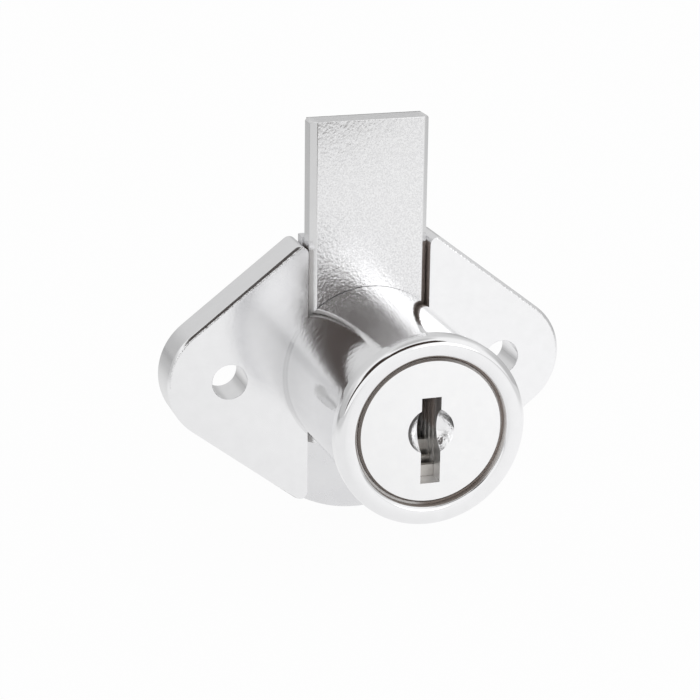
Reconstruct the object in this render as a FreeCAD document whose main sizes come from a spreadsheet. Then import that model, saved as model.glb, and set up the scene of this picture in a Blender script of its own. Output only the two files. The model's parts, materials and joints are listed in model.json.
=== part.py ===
import FreeCAD, Part

import math
import os
import re

import Sketcher

# Drawer lock: a cast housing with a round barrel and two screw ears, a wafer
# cylinder in the barrel, and a flat bolt that the cylinder's crank pin lifts
# and lowers. Millimetres. X is across, +Z is up, and -Y is the front, where
# the key goes in. The origin is on the barrel's axis, in the plane of the
# ears' front faces, which bear on the back of the drawer front.

# Driving dimensions: name, value, what it measures.
SIZES = [
    ("hole_spacing", 33.0, "between the two screw holes"),
    ("hole_bore", 4.1, "screw hole diameter"),
    ("flange_thick", 5.0, "ear thickness, front to back"),
    ("nose_radius", 7.2, "round end of each ear, about its hole"),
    ("edge_slope", 37.5, "slope of the ears' long edges, degrees"),
    ("tip_round", 0.9, "round on the ears' tips beside the channel"),
    ("edge_break", 0.35, "small bevel on the ears' front edges"),
    ("barrel_dia", 20.0, "outside of the barrel"),
    ("barrel_length", 22.0, "ears' front face to the face ring's crest"),
    ("ring_dia", 21.4, "outside of the face ring"),
    ("ring_lip", 1.3, "straight outer edge of the face ring"),
    ("ring_shoulder", 0.6, "round from the ring's lip to its crest"),
    ("ring_fall", 12.0, "tilt of the ring's face where its inner round starts, degrees"),
    ("ring_roll", 0.4, "inner round of the face ring"),
    ("ring_inner_edge", 0.5, "straight inner edge of the face ring"),
    ("ring_gap", 0.3, "face ring's opening round the cylinder head"),
    ("spigot_dia", 19.0, "neck that the face ring is pressed on"),
    ("plug_dia", 13.6, "cylinder body"),
    ("head_dia", 16.3, "cylinder head"),
    ("head_thick", 1.5, "cylinder head, front to back"),
    ("head_recess", 0.6, "cylinder face behind the ring's crest"),
    ("head_bevel", 0.25, "bevel round the cylinder face"),
    ("turning_gap", 0.06, "radial clearance of the cylinder"),
    ("end_gap", 0.05, "axial clearance of the cylinder"),
    ("key_width", 2.2, "key slot, across"),
    ("key_height", 9.7, "key slot, top to bottom"),
    ("key_drop", 1.05, "middle of the key slot below the axis"),
    ("key_depth", 14.0, "key slot, from the cylinder face inwards"),
    ("dimple_dia", 5.2, "round hollow in the cylinder face"),
    ("dimple_depth", 1.7, "depth of that hollow"),
    ("first_wafer", 2.35, "cylinder face to the middle of the first wafer"),
    ("wafer_count", 7, "wafers"),
    ("wafer_pitch", 1.25, "between two wafers"),
    ("wafer_thick", 0.5, "wafer thickness"),
    ("wafer_width", 5.4, "wafer width"),
    ("wafer_gap", 0.05, "clearance round a wafer, each side"),
    ("wafer_inset", 0.08, "wafer ends inside the cylinder's surface"),
    ("wafer_travel", 0.7, "how far a wafer springs out without the key"),
    ("window_width", 2.6, "opening in a wafer for the key"),
    ("window_top", 4.3, "top of that opening, above the axis"),
    ("window_floor", 4.6, "floor of the deepest opening, below the axis"),
    ("bitting_step", 0.5, "one step of the code"),
    ("spur_reach", 4.05, "side spur's tip, from the axis"),
    ("spur_height", 0.9, "side spur, top to bottom"),
    ("spur_level", 0.15, "spur's underside above the axis"),
    ("spring_side", 3.45, "spring hole's middle, from the axis"),
    ("spring_bore", 1.5, "spring hole diameter"),
    ("spring_floor", 3.6, "spring hole's floor below the axis"),
    ("spring_dia", 1.25, "spring, outside diameter"),
    ("spring_wire", 0.2, "spring wire diameter"),
    ("spring_turns", 6, "turns of a spring"),
    ("spring_rest", 0.02, "spring to its seats at each end"),
    ("groove_room", 0.2, "locking groove beyond a sprung wafer"),
    ("keeper_back", 3.9, "middle of the retaining wafer before the rear end"),
    ("keeper_thick", 0.8, "retaining wafer thickness"),
    ("keeper_reach", 0.7, "retaining wafer's tip outside the cylinder"),
    ("keeper_stroke", 0.8, "retaining wafer pushed in to free the cylinder"),
    ("keeper_height", 4.9, "retaining wafer, tip to top edge"),
    ("keeper_spring", 3.9, "length of its spring"),
    ("keeper_gap", 0.15, "clearance of its ring groove"),
    ("stop_width", 20.0, "turn stop on the cylinder head, degrees"),
    ("stop_height", 1.1, "turn stop behind the head"),
    ("stop_gap", 0.12, "clearance round the turn stop"),
    ("stop_play", 1.5, "play of the turn stop at each end, degrees"),
    ("key_turn", 180.0, "turn of the key, degrees"),
    ("crank_offset", 4.0, "crank pin's distance from the axis"),
    ("crank_dia", 3.0, "crank pin diameter"),
    ("crank_seat", 2.5, "crank pin's length in the cylinder"),
    ("crank_short", 0.15, "crank pin's end before the bolt's back"),
    ("crank_bevel", 0.25, "bevel on the crank pin's ends"),
    ("bolt_width", 14.0, "bolt, across"),
    ("bolt_thick", 2.9, "bolt, front to back"),
    ("bolt_rise", 29.35, "bolt's top above the axis, thrown"),
    ("bolt_tail", 8.5, "bolt's lower end below the axis, thrown"),
    ("bolt_corner", 0.25, "cut corners at the bolt's top"),
    ("bolt_bevel", 0.7, "bevel on the bolt's front edges"),
    ("bolt_back_bevel", 0.3, "bevel on the bolt's back edges"),
    ("side_gap", 0.28, "bolt to each channel wall"),
    ("face_gap", 0.12, "bolt to the barrel and to the back cover"),
    ("yoke_gap", 0.06, "crank pin in the bolt's slot, each side"),
    ("yoke_round", 0.5, "round in the slot's corners"),
    ("yoke_slack", 0.85, "rise left in the slot, since lift is not linear"),
    ("cover_thick", 1.5, "back cover thickness"),
    ("cover_width", 23.0, "back cover, across its middle"),
    ("cover_height", 22.0, "back cover's wide part, top to bottom"),
    ("cover_top", 15.6, "back cover's upper tongue above the axis"),
    ("cover_drop", 18.2, "back cover's lowest point below the axis"),
    ("cover_arc", 14.0, "radius of its lower end"),
    ("cover_fit", 0.08, "back cover in its recess"),
    ("cover_round", 1.0, "rounded corners of the cover's wide part"),
    ("rivet_edge", 2.1, "rivet to the side of the cover's recess"),
    ("rivet_end", 2.4, "rivet to the top or bottom of that recess"),
    ("rivet_shank", 2.0, "rivet shank diameter"),
    ("rivet_head", 3.4, "rivet head diameter"),
    ("rivet_head_thick", 0.7, "rivet head thickness"),
    ("rivet_seat", 2.0, "rivet's length in the ear"),
    ("rivet_taper", 0.45, "rivet head's edge, radius lost to its bevel"),
]

# Steps of the code that lift each wafer's window floor, front to back.
BITTING = (0, 1, 4, 2, 5, 3, 1)

# Places that several pieces share, worked out from the sizes above.
PLACES = {
    "channel_half": "(bolt_width / 2 + side_gap)",
    "ear_apex": "(hole_spacing / 2 + nose_radius / sin(edge_slope))",
    "ear_tip": "((ear_apex - channel_half) * tan(edge_slope))",
    "ring_back": "(ring_lip + ring_shoulder - barrel_length)",
    "ring_crest": "(-barrel_length)",
    "crest_radius": "(ring_dia / 2 - ring_shoulder)",
    "ring_run": "(crest_radius - ring_inner - ring_roll)",
    "ring_crown": "(ring_run / sin(ring_fall))",
    "roll_front": "(ring_crown * (1 - cos(ring_fall)) - barrel_length)",
    "ring_inner": "(head_dia / 2 + ring_gap)",
    "neck_end": "(roll_front + ring_roll + ring_inner_edge)",
    "plug_face": "(head_recess - barrel_length)",
    "head_back": "(plug_face + head_thick)",
    "head_seat": "(head_back + end_gap)",
    "plug_rear": "(-end_gap)",
    "head_bore": "(head_dia / 2 + turning_gap)",
    "plug_bore": "(plug_dia / 2 + turning_gap)",
    "key_top": "(key_height / 2 - key_drop)",
    "key_bottom": "(-key_height / 2 - key_drop)",
    "dimple_radius": "((dimple_dia ^ 2 / 4 + dimple_depth ^ 2) / (2 * dimple_depth))",
    "front_wafer": "(plug_face + first_wafer)",
    "back_wafer": "(front_wafer + (wafer_count - 1) * wafer_pitch)",
    "slot_half": "(wafer_width / 2 + wafer_gap)",
    "slot_thick": "(wafer_thick + 2 * wafer_gap)",
    "wafer_end": "(plug_dia / 2 - wafer_inset)",
    "wafer_shoulder": "sqrt(wafer_end ^ 2 - wafer_width ^ 2 / 4)",
    "groove_half": "(slot_half + wafer_gap)",
    "groove_reach": "(wafer_end + wafer_travel + groove_room)",
    "keeper_middle": "(plug_rear - keeper_back)",
    "keeper_tip": "(plug_dia / 2 + keeper_reach)",
    "keeper_shoulder": "sqrt(keeper_tip ^ 2 - wafer_width ^ 2 / 4)",
    "keeper_edge": "(keeper_height - keeper_tip)",
    "keeper_ring_half": "(keeper_thick / 2 + keeper_gap)",
    "keeper_ring_reach": "(keeper_tip + keeper_gap)",
    "stop_inner": "(plug_dia / 2 - wafer_inset)",
    "stop_outer": "(head_dia / 2 - 3 * stop_gap)",
    "bolt_front": "(face_gap)",
    "bolt_back": "(bolt_front + bolt_thick)",
    "cover_front": "(bolt_back + face_gap)",
    "cover_back": "(cover_front + cover_thick)",
    "yoke_side": "(crank_offset + crank_dia / 2 + yoke_gap)",
    "yoke_half": "(crank_dia / 2 + yoke_slack + yoke_gap)",
    "cover_side": "(cover_width / 2 - cover_fit)",
    "cover_level": "(cover_height / 2 - cover_fit)",
    "tongue_half": "(channel_half - cover_fit)",
    "tongue_end": "(cover_arc - cover_drop - sqrt(cover_arc ^ 2 - tongue_half ^ 2))",
    "rivet_side": "(cover_width / 2 - rivet_edge)",
    "rivet_level": "(cover_height / 2 - rivet_end)",
    "rivet_bottom": "(cover_front - rivet_seat)",
}

NAMES = {name for name, _, _ in SIZES}

# Sketch planes: origin plane, how its offset runs along the object's own axis,
# and whether a pad must be reversed to grow along that axis.
PLANES = {
    "front": ("XZ_Plane", -1, True),
    "top": ("XY_Plane", 1, False),
    "side": ("YZ_Plane", 1, False),
}

doc = FreeCAD.newDocument("DrawerLock")
sheet = doc.addObject("Spreadsheet::Sheet", "Sizes")
for row, (size_name, size_value, size_note) in enumerate(SIZES, start=1):
    sheet.set(f"A{row}", size_name)
    sheet.set(f"B{row}", str(size_value))
    sheet.set(f"C{row}", size_note)
    sheet.setAlias(f"B{row}", size_name)
doc.recompute()


def spelled(text):
    """The expression with each shared place written out in sizes."""
    return re.sub(r"[a-z_]+", lambda hit: spelled(PLACES[hit.group()]) if hit.group() in PLACES else hit.group(),
                  text)


def bound(text):
    """The expression with each size's name pointing at the sheet."""
    return re.sub(r"[a-z_]+", lambda hit: f"Sizes.{hit.group()}" if hit.group() in NAMES else hit.group(),
                  spelled(text))


def value(text):
    """The expression's present value."""
    return float(sheet.evalExpression(spelled(text)))


def bind(thing, path, text):
    """Tie a property of a feature to an expression of the sizes."""
    thing.setExpression(path, bound(text))


def new_body(label):
    """An empty body that becomes one sub-part."""
    body = doc.addObject("PartDesign::Body", label)
    body.Label = label
    return body


def origin_part(body, role):
    """One of the body's own origin planes or axes."""
    return next(item for item in body.Origin.OriginFeatures if item.Role == role)


def new_sketch(body, name, plane, offset):
    """A sketch on one of the body's origin planes, shifted along the object's axis."""
    role, sign, _ = PLANES[plane]
    sketch = body.newObject("Sketcher::SketchObject", name)
    sketch.AttachmentSupport = [(origin_part(body, role), "")]
    sketch.MapMode = "FlatFace"
    bind(sketch, "AttachmentOffset.Base.z", f"{sign} * ({offset})")
    return sketch


def pin_point(sketch, edge, end, corner, name):
    """Hold one end of a sketch edge at a corner given as two expressions."""
    for axis, text in zip("XY", corner):
        index = sketch.addConstraint(Sketcher.Constraint(f"Distance{axis}", -1, 1, edge, end, value(text)))
        sketch.renameConstraint(index, f"{name}{axis}")
        bind(sketch, f"Constraints.{name}{axis}", text)


def arc_through(start, end, radius, side):
    """A circular edge between two points that bulges to the left (1) or right (-1)."""
    chord = end - start
    middle = (start + end) * 0.5
    left = FreeCAD.Vector(-chord.y, chord.x, 0).normalize()
    rise = radius - math.sqrt(radius * radius - chord.Length * chord.Length / 4)
    return Part.Arc(start, middle + left * rise * side, end)


def outline(sketch, corners, name="p"):
    """A closed outline: each corner is (x, y), or (x, y, radius, side) for an arc that leads on from it."""
    points = [FreeCAD.Vector(value(corner[0]), value(corner[1]), 0) for corner in corners]
    first = sketch.GeometryCount
    for index, corner in enumerate(corners):
        start = points[index]
        end = points[(index + 1) % len(points)]
        if len(corner) == 2:
            sketch.addGeometry(Part.LineSegment(start, end))
        else:
            sketch.addGeometry(arc_through(start, end, value(corner[2]), corner[3]))
    for index, corner in enumerate(corners):
        edge = first + index
        follower = first + (index + 1) % len(corners)
        ends = edge_ends(sketch, edge, points[index])
        next_ends = edge_ends(sketch, follower, points[(index + 1) % len(points)])
        sketch.addConstraint(Sketcher.Constraint("Coincident", edge, ends[1], follower, next_ends[0]))
        pin_point(sketch, edge, ends[0], corner[:2], f"{name}{index}")
        if len(corner) == 4:
            radius = sketch.addConstraint(Sketcher.Constraint("Radius", edge, value(corner[2])))
            sketch.renameConstraint(radius, f"{name}{index}R")
            bind(sketch, f"Constraints.{name}{index}R", corner[2])
    return sketch


def edge_ends(sketch, edge, start):
    """Numbers of the edge's start and end points, where arcs may have been stored backwards."""
    if sketch.getPoint(edge, 1).distanceToPoint(start) < sketch.getPoint(edge, 2).distanceToPoint(start):
        return 1, 2
    return 2, 1


def circle(sketch, across, up, diameter, name="c"):
    """A circle whose centre and diameter are expressions."""
    centre = FreeCAD.Vector(value(across), value(up), 0)
    edge = sketch.addGeometry(Part.Circle(centre, FreeCAD.Vector(0, 0, 1), value(diameter) / 2))
    pin_point(sketch, edge, 3, (across, up), name)
    index = sketch.addConstraint(Sketcher.Constraint("Diameter", edge, value(diameter)))
    sketch.renameConstraint(index, f"{name}D")
    bind(sketch, f"Constraints.{name}D", diameter)
    return sketch


def box_corners(left, right, low, high):
    """Corners of a rectangle."""
    return [(left, low), (right, low), (right, high), (left, high)]


def extrude(body, kind, sketch, depth, plane):
    """Grow or cut along the object's axis from the sketch's plane by depth."""
    feature = body.newObject(f"PartDesign::{kind}", f"{sketch.Name}_{kind}")
    feature.Profile = sketch
    bind(feature, "Length", depth)
    feature.Reversed = PLANES[plane][2] if kind == "Pad" else not PLANES[plane][2]
    doc.recompute()
    return feature


def pad(body, name, corners, start, depth, plane="front"):
    """A pad of an outline from one level of the axis to a depth beyond it."""
    return extrude(body, "Pad", outline(new_sketch(body, name, plane, start), corners), depth, plane)


def pocket(body, name, corners, start, depth, plane="front"):
    """A pocket of an outline from one level of the axis to a depth beyond it."""
    return extrude(body, "Pocket", outline(new_sketch(body, name, plane, start), corners), depth, plane)


def drill(body, name, across, up, diameter, start, depth, plane="front"):
    """A round pocket from one level of the axis to a depth beyond it."""
    return extrude(body, "Pocket", circle(new_sketch(body, name, plane, start), across, up, diameter), depth, plane)


def turned(body, kind, name, corners, plane="top", turn="360"):
    """A revolved or grooved profile about the barrel's axis: corners are (radius, y), or (y, z) on the side plane."""
    sketch = outline(new_sketch(body, name, plane, "0"), corners)
    feature = body.newObject(f"PartDesign::{kind}", f"{name}_{kind}")
    feature.Profile = sketch
    feature.ReferenceAxis = (sketch, ["V_Axis" if plane == "top" else "H_Axis"])
    feature.Midplane = True
    bind(feature, "Angle", turn)
    doc.recompute()
    return feature


def edges_where(feature, test):
    """Names of the feature's edges that pass a test on the edge."""
    return [f"Edge{index}" for index, edge in enumerate(feature.Shape.Edges, start=1) if test(edge)]


def dress(body, kind, name, base, test, size):
    """A fillet or chamfer on the edges of the last feature that pass a test."""
    feature = body.newObject(f"PartDesign::{kind}", name)
    feature.Base = (base, edges_where(base, test))
    bind(feature, "Radius" if kind == "Fillet" else "Size", size)
    doc.recompute()
    return feature


def runs_along(edge, axis):
    """Whether a straight edge is parallel to an axis."""
    if edge.Curve.TypeId != "Part::GeomLine":
        return False
    return abs(abs(edge.tangentAt(edge.FirstParameter).dot(axis)) - 1) < 1e-6


def lies_at(edge, axis, level):
    """Whether the whole edge lies at one level of an axis."""
    return all(abs(vertex.Point.dot(axis) - level) < 1e-4 for vertex in edge.Vertexes)


X_AXIS = FreeCAD.Vector(1, 0, 0)
Y_AXIS = FreeCAD.Vector(0, 1, 0)
Z_AXIS = FreeCAD.Vector(0, 0, 1)


def lock_housing():
    """Casting: two ears, the barrel in front of them and the bolt's channel between them."""
    body = new_body("lock_housing")
    ears = pad(body, "Ears", [
        ("channel_half", "-ear_tip"), ("ear_apex", "0"), ("channel_half", "ear_tip"),
        ("-channel_half", "ear_tip"), ("-ear_apex", "0"), ("-channel_half", "-ear_tip"),
    ], "0", "flange_thick")
    apex = value("ear_apex")
    noses = dress(body, "Fillet", "Noses", ears,
                  lambda edge: runs_along(edge, Y_AXIS) and abs(abs(edge.CenterOfMass.x) - apex) < 1e-3,
                  "nose_radius")
    dress(body, "Chamfer", "EarEdges", noses, lambda edge: lies_at(edge, Y_AXIS, 0), "edge_break")
    turned(body, "Revolution", "Barrel", [
        ("0", "neck_end"), ("spigot_dia / 2", "neck_end"), ("spigot_dia / 2", "ring_back"),
        ("barrel_dia / 2", "ring_back"), ("barrel_dia / 2", "flange_thick"), ("0", "flange_thick"),
    ])
    channel = pocket(body, "Channel", box_corners("-channel_half", "channel_half", "-barrel_length", "barrel_length"),
                     "0", "2 * flange_thick")
    tip = value("ear_tip")
    half = value("channel_half")
    dress(body, "Fillet", "Tips", channel,
          lambda edge: runs_along(edge, Y_AXIS) and abs(abs(edge.CenterOfMass.z) - tip) < 1
          and abs(abs(edge.CenterOfMass.x) - half) < 1e-3, "tip_round")
    pocket(body, "CoverRecess",
           box_corners("-cover_width / 2", "cover_width / 2", "-cover_height / 2", "cover_height / 2"),
           "cover_front", "flange_thick")
    turned(body, "Groove", "Bore", [
        ("0", "-2 * barrel_length"), ("head_bore", "-2 * barrel_length"), ("head_bore", "head_seat"),
        ("plug_bore", "head_seat"), ("plug_bore", "flange_thick"), ("0", "flange_thick"),
    ])
    turned(body, "Groove", "KeeperRing", [
        ("plug_dia / 2", "keeper_middle - keeper_ring_half"),
        ("keeper_ring_reach", "keeper_middle - keeper_ring_half"),
        ("keeper_ring_reach", "keeper_middle + keeper_ring_half"),
        ("plug_dia / 2", "keeper_middle + keeper_ring_half"),
    ])
    pocket(body, "LockingGrooves", box_corners("-groove_half", "groove_half", "-groove_reach", "groove_reach"),
           "head_seat", "back_wafer + wafer_thick - head_seat")
    turned(body, "Groove", "StopTrack", [
        ("head_seat - stop_height", "-stop_inner"),
        ("head_seat - stop_height", "-stop_outer - stop_gap"),
        ("head_back + stop_height + stop_gap", "-stop_outer - stop_gap"),
        ("head_back + stop_height + stop_gap", "-stop_inner"),
    ], plane="side", turn="key_turn + stop_width + 2 * stop_play")
    for side, sign in (("Left", "-1"), ("Right", "1")):
        drill(body, f"{side}ScrewHole", f"{sign} * hole_spacing / 2", "0", "hole_bore",
              "-flange_thick", "3 * flange_thick")
        for level, up in (("Low", "-1"), ("High", "1")):
            drill(body, f"{side}{level}RivetHole", f"{sign} * rivet_side", f"{up} * rivet_level",
                  "rivet_shank", "rivet_bottom", "flange_thick")
    return body


def face_ring():
    """Trim ring pressed on the barrel's neck, rounded outside and inside."""
    body = new_body("face_ring")
    turned(body, "Revolution", "Ring", [
        ("spigot_dia / 2", "ring_back"),
        ("ring_dia / 2", "ring_back"),
        ("ring_dia / 2", "ring_crest + ring_shoulder", "ring_shoulder", 1),
        ("crest_radius", "ring_crest", "ring_crown", 1),
        ("ring_inner + ring_roll", "roll_front", "ring_roll / (sqrt(2) * sin(45 - ring_fall))", 1),
        ("ring_inner", "roll_front + ring_roll"),
        ("ring_inner", "neck_end"),
        ("spigot_dia / 2", "neck_end"),
    ])
    return body


def wafer_place(index):
    """Distance of a wafer's middle along the barrel's axis."""
    return f"(front_wafer + {index} * wafer_pitch)"


def cylinder_plug():
    """Cylinder that the key turns: head, body, key slot, wafer slots and spring holes."""
    body = new_body("cylinder_plug")
    turned(body, "Revolution", "Turned", [
        ("0", "plug_face"), ("head_dia / 2 - head_bevel", "plug_face"), ("head_dia / 2", "plug_face + head_bevel"),
        ("head_dia / 2", "head_back"), ("plug_dia / 2", "head_back"), ("plug_dia / 2", "plug_rear"),
        ("0", "plug_rear"),
    ])
    turned(body, "Revolution", "TurnStop", [
        ("stop_inner", "head_back - stop_height"), ("stop_outer", "head_back - stop_height"),
        ("stop_outer", "head_back + stop_height"), ("stop_inner", "head_back + stop_height"),
    ], turn="stop_width")
    turned(body, "Groove", "Dimple", [
        ("0", "plug_face + dimple_depth", "dimple_radius", 1), ("dimple_dia / 2", "plug_face"),
        ("dimple_dia / 2", "-2 * barrel_length"), ("0", "-2 * barrel_length"),
    ])
    pocket(body, "KeySlot", box_corners("-key_width / 2", "key_width / 2", "key_bottom", "key_top"),
           "plug_face", "key_depth")
    slot = pocket(body, "WaferSlot", box_corners("-slot_half", "slot_half", "-plug_dia", "plug_dia"),
                  "front_wafer - slot_thick / 2", "slot_thick")
    repeat_back(body, "WaferSlots", slot, "wafer_count", "wafer_pitch")
    right_hole = drill(body, "RightSpringHole", "spring_side", wafer_place(0), "spring_bore",
                       "-spring_floor", "plug_dia", plane="top")
    repeat_back(body, "RightSpringHoles", right_hole, "ceil(wafer_count / 2)", "2 * wafer_pitch")
    left_hole = drill(body, "LeftSpringHole", "-spring_side", wafer_place(1), "spring_bore",
                      "-spring_floor", "plug_dia", plane="top")
    repeat_back(body, "LeftSpringHoles", left_hole, "floor(wafer_count / 2)", "2 * wafer_pitch")
    pocket(body, "KeeperSlot",
           box_corners("-slot_half", "slot_half", "-plug_dia", "keeper_edge + keeper_stroke + wafer_gap"),
           "keeper_middle - keeper_thick / 2 - wafer_gap", "keeper_thick + 2 * wafer_gap")
    drill(body, "KeeperSpringHole", "0", "keeper_middle", "spring_bore",
          "-plug_dia", "plug_dia + keeper_edge + keeper_spring", plane="top")
    drill(body, "CrankHole", "0", "crank_offset", "crank_dia", "plug_rear - crank_seat", "2 * crank_seat")
    return body


def repeat_back(body, name, feature, count, step):
    """Copies of a cut at even steps towards the cylinder's rear end."""
    pattern = body.newObject("PartDesign::LinearPattern", name)
    pattern.Originals = [feature]
    pattern.Direction = (origin_part(body, "Y_Axis"), [""])
    bind(pattern, "Occurrences", count)
    bind(pattern, "Length", f"({count} - 1) * {step}")
    body.Tip = pattern
    doc.recompute()
    return pattern


def place(thing, across, along, up, turn=0.0):
    """Set a sub-part's place, tied to the sizes, and its turn about the upright axis."""
    thing.Placement = FreeCAD.Placement(FreeCAD.Vector(), FreeCAD.Rotation(Z_AXIS, turn))
    bind(thing, "Placement.Base.x", across)
    bind(thing, "Placement.Base.y", along)
    bind(thing, "Placement.Base.z", up)


def wafer(index, code):
    """Flat plate with a window for the key and a spur that its spring lifts."""
    body = new_body(f"wafer_{index + 1}")
    side = "wafer_width / 2"
    sketch = new_sketch(body, f"Wafer{index + 1}", "front", "-wafer_thick / 2")
    outline(sketch, [
        (f"-{side}", "-wafer_shoulder", "wafer_end", -1),
        (side, "-wafer_shoulder"),
        (side, "spur_level"), ("spur_reach", "spur_level"),
        ("spur_reach", "spur_level + spur_height"), (side, "spur_level + spur_height"),
        (side, "wafer_shoulder", "wafer_end", -1),
        (f"-{side}", "wafer_shoulder"),
    ], "plate")
    outline(sketch, box_corners("-window_width / 2", "window_width / 2",
                                f"{code} * bitting_step - window_floor", "window_top"), "window")
    extrude(body, "Pad", sketch, "wafer_thick", "front")
    place(body, "0", wafer_place(index), "0", 180 * (index % 2))
    return body


def coil(label, length):
    """Round wire wound in an open helix that stands on its own origin."""
    body = new_body(label)
    sketch = circle(new_sketch(body, f"{label}_wire", "front", "0"),
                    "(spring_dia - spring_wire) / 2", "spring_wire / 2", "spring_wire")
    helix = body.newObject("PartDesign::AdditiveHelix", f"{label}_helix")
    helix.Profile = sketch
    helix.ReferenceAxis = (sketch, ["V_Axis"])
    helix.Mode = "height-turns-angle"
    bind(helix, "Height", f"{length} - spring_wire")
    bind(helix, "Turns", "spring_turns")
    doc.recompute()
    return body


def wafer_spring(index):
    """Spring in the cylinder that stands under one wafer's spur."""
    body = coil(f"wafer_spring_{index + 1}", "(spring_floor + spur_level - 2 * spring_rest)")
    side = "spring_side" if index % 2 == 0 else "-spring_side"
    place(body, side, wafer_place(index), "spring_rest - spring_floor")
    return body


def retaining_wafer():
    """Sprung plate under the cylinder that runs in the housing's ring groove and holds it in."""
    body = new_body("retaining_wafer")
    side = "wafer_width / 2"
    pad(body, "Keeper", [
        (f"-{side}", "-keeper_shoulder", "keeper_tip", -1),
        (side, "-keeper_shoulder"), (side, "keeper_edge"), (f"-{side}", "keeper_edge"),
    ], "-keeper_thick / 2", "keeper_thick")
    place(body, "0", "keeper_middle", "0")
    return body


def retaining_spring():
    """Spring that pushes the retaining wafer out."""
    body = coil("retaining_spring", "(keeper_spring - 2 * spring_rest)")
    place(body, "0", "keeper_middle", "keeper_edge + spring_rest")
    return body


def crank_pin():
    """Steel pin pressed off centre into the cylinder's rear end."""
    body = new_body("crank_pin")
    sketch = circle(new_sketch(body, "Pin", "front", "0"), "0", "0", "crank_dia")
    pin = extrude(body, "Pad", sketch, "bolt_back - crank_short - plug_rear + crank_seat", "front")
    dress(body, "Chamfer", "PinEnds", pin, lambda edge: edge.Curve.TypeId == "Part::GeomCircle", "crank_bevel")
    place(body, "0", "plug_rear - crank_seat", "crank_offset")
    return body


def lock_bolt():
    """Flat cast bolt with the cross slot that the crank pin works in."""
    body = new_body("lock_bolt")
    slab = pad(body, "Slab", box_corners("-bolt_width / 2", "bolt_width / 2", "-bolt_tail", "bolt_rise"),
               "bolt_front", "bolt_thick")
    top = value("bolt_rise")
    front = value("bolt_front")
    back = value("bolt_back")
    corners = dress(body, "Chamfer", "TopCorners", slab,
                    lambda edge: runs_along(edge, Y_AXIS) and lies_at(edge, Z_AXIS, top), "bolt_corner")
    fronts = dress(body, "Chamfer", "FrontEdges", corners,
                   lambda edge: runs_along(edge, Z_AXIS) and lies_at(edge, Y_AXIS, front), "bolt_bevel")
    dress(body, "Chamfer", "BackEdges", fronts,
          lambda edge: runs_along(edge, Z_AXIS) and lies_at(edge, Y_AXIS, back), "bolt_back_bevel")
    yoke = pocket(body, "Yoke", box_corners("-yoke_side", "yoke_side", "crank_offset - yoke_half",
                                            "crank_offset + yoke_half"), "0", "2 * bolt_back")
    side = value("yoke_side")
    dress(body, "Fillet", "YokeCorners", yoke,
          lambda edge: runs_along(edge, Y_AXIS) and abs(abs(edge.CenterOfMass.x) - side) < 1e-3, "yoke_round")
    return body


def back_cover():
    """Steel plate behind the bolt, with an upper tongue and a round-ended lower one."""
    body = new_body("back_cover")
    plate = pad(body, "Cover", [
        ("-tongue_half", "tongue_end", "cover_arc", -1),
        ("tongue_half", "tongue_end"), ("tongue_half", "-cover_level"),
        ("cover_side", "-cover_level"), ("cover_side", "cover_level"),
        ("tongue_half", "cover_level"), ("tongue_half", "cover_top"),
        ("-tongue_half", "cover_top"), ("-tongue_half", "cover_level"),
        ("-cover_side", "cover_level"), ("-cover_side", "-cover_level"),
        ("-tongue_half", "-cover_level"),
    ], "cover_front", "cover_thick")
    side = value("cover_side")
    dress(body, "Fillet", "CoverCorners", plate,
          lambda edge: runs_along(edge, Y_AXIS) and abs(abs(edge.CenterOfMass.x) - side) < 1e-3, "cover_round")
    for side_name, sign in (("Left", "-1"), ("Right", "1")):
        for level_name, up in (("Low", "-1"), ("High", "1")):
            drill(body, f"Cover{side_name}{level_name}", f"{sign} * rivet_side", f"{up} * rivet_level",
                  "rivet_shank", "0", "2 * cover_back")
    return body


def primitive(kind, name, sizes, across, along, up):
    """A round primitive whose own axis points to the back."""
    thing = doc.addObject(f"Part::{kind}", name)
    for path, text in sizes.items():
        bind(thing, path, text)
    thing.Placement = FreeCAD.Placement(FreeCAD.Vector(), FreeCAD.Rotation(X_AXIS, -90))
    bind(thing, "Placement.Base.x", across)
    bind(thing, "Placement.Base.y", along)
    bind(thing, "Placement.Base.z", up)
    return thing


def cover_rivets():
    """Four rivets through the back cover into blind holes in the ears."""
    rivets = []
    for across in ("-rivet_side", "rivet_side"):
        for up in ("-rivet_level", "rivet_level"):
            number = len(rivets) + 1
            shank = primitive("Cylinder", f"Shank{number}",
                              {"Radius": "rivet_shank / 2", "Height": "rivet_seat + cover_thick"},
                              across, "rivet_bottom", up)
            head = primitive("Cone", f"Head{number}",
                             {"Radius1": "rivet_head / 2", "Radius2": "rivet_head / 2 - rivet_taper",
                              "Height": "rivet_head_thick"}, across, "cover_back", up)
            rivet = doc.addObject("Part::Fuse", f"Rivet{number}")
            rivet.Base = shank
            rivet.Tool = head
            rivets.append(rivet)
    group = doc.addObject("Part::Compound", "cover_rivets")
    group.Label = "cover_rivets"
    group.Links = rivets
    return group


def build():
    """All sub-parts, front to back."""
    parts = [lock_housing(), face_ring(), cylinder_plug(), crank_pin(), retaining_wafer(), retaining_spring()]
    for index in range(int(value("wafer_count"))):
        parts.append(wafer(index, BITTING[index % len(BITTING)]))
        parts.append(wafer_spring(index))
    parts += [lock_bolt(), back_cover(), cover_rivets()]
    doc.recompute()
    return parts


def check(parts):
    """Stop if any object failed or any sub-part's shape is missing or broken."""
    for thing in doc.Objects:
        if "Invalid" in thing.State or "Error" in thing.State:
            raise RuntimeError(f"{thing.Label} failed: {thing.State}")
    for part in parts:
        if part.Shape.isNull() or not part.Shape.isValid() or part.Shape.Volume <= 0:
            raise RuntimeError(f"{part.Label} has no sound shape")


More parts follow.
